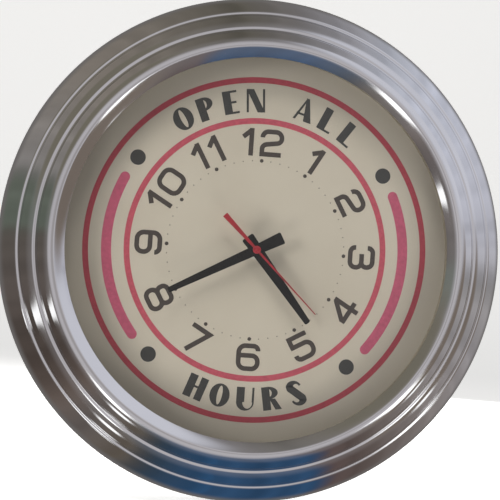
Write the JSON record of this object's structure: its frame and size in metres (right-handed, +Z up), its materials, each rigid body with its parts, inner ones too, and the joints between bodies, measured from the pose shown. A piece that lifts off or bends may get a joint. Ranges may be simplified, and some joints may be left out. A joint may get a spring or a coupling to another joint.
{
  "type": "advertising wall clock",
  "caption": "Round quartz wall clock with a deep stepped chrome bezel, flat glass, cream printed dial and hour, minute and second hands.",
  "frame": {"origin": "on the wall plane behind the hands' axis", "axes": "+Y into the wall, so the dial faces -Y; +Z up, +X to the right of a person reading the clock"},
  "size_m": [0.381, 0.091, 0.381],
  "materials": {
    "chrome": "mirror polish",
    "black_steel": "satin black paint",
    "zinc_steel": "zinc plated",
    "glass": "clear",
    "black_rubber": "matt",
    "cream_plastic": "satin",
    "cream_dial": "satin paint with crimson and dark print",
    "black_plastic": "fine texture",
    "brass": "turned",
    "white_plastic": "moulded",
    "silicon_steel": "stamped",
    "copper_coil": "enamelled copper wire",
    "board": "green laminate",
    "epoxy": "epoxy blob",
    "can_steel": "bright can",
    "battery_label": "plastic sleeve",
    "spring_steel": "nickel plated",
    "black_hand": "satin black paint",
    "red_hand": "red paint"
  },
  "bodies": {
    "clock_case": {"bezel": "chrome", "bezel_mounting_ring": "black_steel", "mounting_ring_screws": "zinc_steel", "crystal": "glass", "crystal_gasket": "black_rubber", "dial_spacer_ring": "cream_plastic", "dial_plate": "cream_dial", "dial_screws": "zinc_steel", "case_wall": "black_steel", "dial_flange": "zinc_steel", "rear_flange": "zinc_steel", "back_cover": "black_steel", "back_cover_screws": "zinc_steel", "hanger_plate": "zinc_steel", "hanger_rivets": "zinc_steel", "wall_bumpers": "black_rubber", "movement_front_housing": "black_plastic", "threaded_bush": "brass", "movement_rear_cover": "black_plastic", "middle_plate": "black_plastic", "stator": "silicon_steel", "coil": "copper_coil", "circuit_board": "board", "chip": "epoxy", "quartz_crystal": "can_steel", "battery": "battery_label", "battery_contacts": "spring_steel", "rubber_washer": "black_rubber", "brass_washer": "brass", "hex_nut": "brass"},
    "second_shaft": {"second_hand": "red_hand", "second_wheel": "white_plastic"},
    "rotor_shaft": {"rotor": "white_plastic"},
    "intermediate_shaft": {"intermediate_wheel": "white_plastic"},
    "third_shaft": {"third_wheel": "white_plastic"},
    "centre_shaft": {"centre_wheel": "white_plastic"},
    "minute_shaft": {"minute_hand": "black_hand", "minute_pinion": "white_plastic"},
    "minute_wheel_shaft": {"minute_wheel": "white_plastic"},
    "hour_shaft": {"hour_hand": "black_hand", "hour_wheel": "white_plastic"},
    "knob_shaft": {"setting_knob": "white_plastic"}
  },
  "joints": [
    {"name": "second_hand_turn", "type": "hinge", "parent": "clock_case", "child": "second_shaft", "pos_m": [0, -0.0635, 0], "axis": [0, 1, 0], "continuous": true},
    {"name": "rotor_turn", "type": "hinge", "parent": "clock_case", "child": "rotor_shaft", "pos_m": [0.01719, -0.0601, -0.00015], "axis": [0, 1, 0], "continuous": true},
    {"name": "intermediate_wheel_turn", "type": "hinge", "parent": "clock_case", "child": "intermediate_shaft", "pos_m": [0.01014, -0.0624, -0.00272], "axis": [0, 1, 0], "continuous": true},
    {"name": "third_wheel_turn", "type": "hinge", "parent": "clock_case", "child": "third_shaft", "pos_m": [-0.01118, -0.0644, 0.00407], "axis": [0, 1, 0], "continuous": true},
    {"name": "centre_wheel_turn", "type": "hinge", "parent": "clock_case", "child": "centre_shaft", "pos_m": [0, -0.0666, 0], "axis": [0, 1, 0], "continuous": true},
    {"name": "minute_hand_turn", "type": "hinge", "parent": "clock_case", "child": "minute_shaft", "pos_m": [0, -0.0678, 0], "axis": [0, 1, 0], "continuous": true},
    {"name": "minute_wheel_turn", "type": "hinge", "parent": "clock_case", "child": "minute_wheel_shaft", "pos_m": [0, -0.0678, 0.012], "axis": [0, 1, 0], "continuous": true},
    {"name": "hour_hand_turn", "type": "hinge", "parent": "clock_case", "child": "hour_shaft", "pos_m": [0, -0.069, 0], "axis": [0, 1, 0], "continuous": true},
    {"name": "setting_knob_turn", "type": "hinge", "parent": "clock_case", "child": "knob_shaft", "pos_m": [0.01128, -0.0535, 0.0161], "axis": [0, 1, 0], "continuous": true}
  ],
  "couplings": [
    {"joint": "rotor_turn", "follows": "second_hand_turn", "ratio": 30},
    {"joint": "intermediate_wheel_turn", "follows": "second_hand_turn", "ratio": -6},
    {"joint": "third_wheel_turn", "follows": "second_hand_turn", "ratio": -0.13333},
    {"joint": "centre_wheel_turn", "follows": "second_hand_turn", "ratio": 0.016667},
    {"joint": "minute_wheel_turn", "follows": "minute_hand_turn", "ratio": -0.33333},
    {"joint": "hour_hand_turn", "follows": "minute_hand_turn", "ratio": 0.083333},
    {"joint": "setting_knob_turn", "follows": "minute_hand_turn", "ratio": 1}
  ]
}
